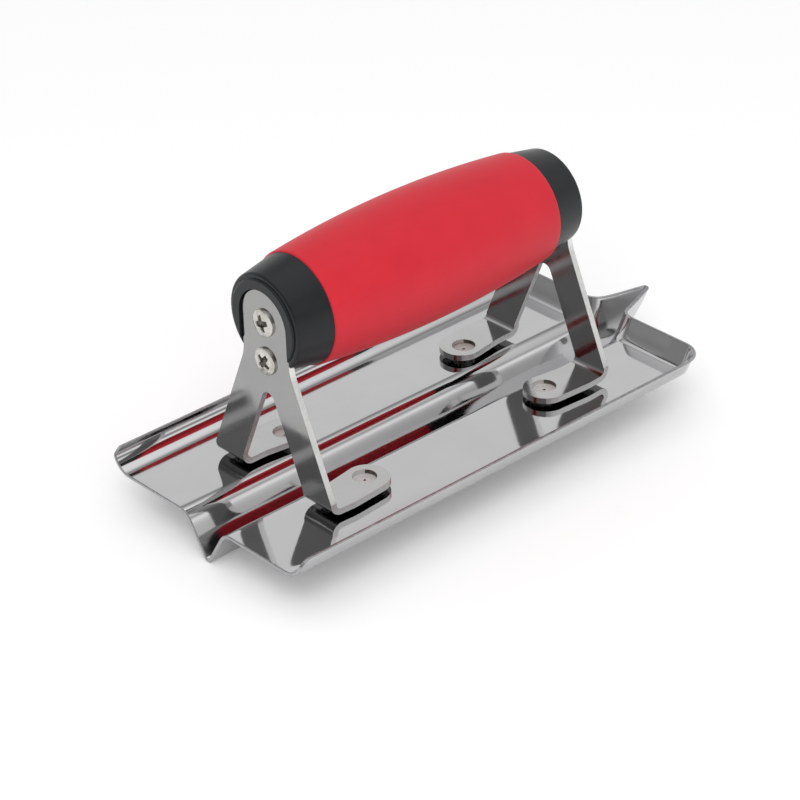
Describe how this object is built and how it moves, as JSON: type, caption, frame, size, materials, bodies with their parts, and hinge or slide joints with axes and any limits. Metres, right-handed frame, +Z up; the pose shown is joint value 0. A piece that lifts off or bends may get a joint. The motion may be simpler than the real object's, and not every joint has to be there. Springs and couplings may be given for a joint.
{
  "type": "concrete hand groover",
  "caption": "Hand groover for fresh concrete: polished steel plate with a V bit and a turned-up spout, bent Y brackets and a soft-grip barrel handle.",
  "frame": {"origin": "centre of the whole object's box in plan, at the bottom edge of the V bit", "axes": "+X along the plate towards the turned-up spout, +Y across the plate, +Z up towards the handle"},
  "size_m": [0.1673, 0.0776, 0.0808],
  "materials": {
    "polished_steel": "mirror-polished stainless steel sheet",
    "bracket_steel": "satin steel strip with bright sheared edges",
    "screw_steel": "bright zinc-plated steel",
    "black_plastic": "fine-grained black moulded plastic",
    "red_rubber": "matt red soft-touch overmould"
  },
  "bodies": {
    "root": {"blade": "polished_steel", "front_bracket": "bracket_steel", "rear_bracket": "bracket_steel", "grip_core": "black_plastic", "grip_sleeve": "red_rubber", "front_upper_screw": "screw_steel", "front_lower_screw": "screw_steel", "rear_upper_screw": "screw_steel", "rear_lower_screw": "screw_steel"}
  },
  "joints": []
}
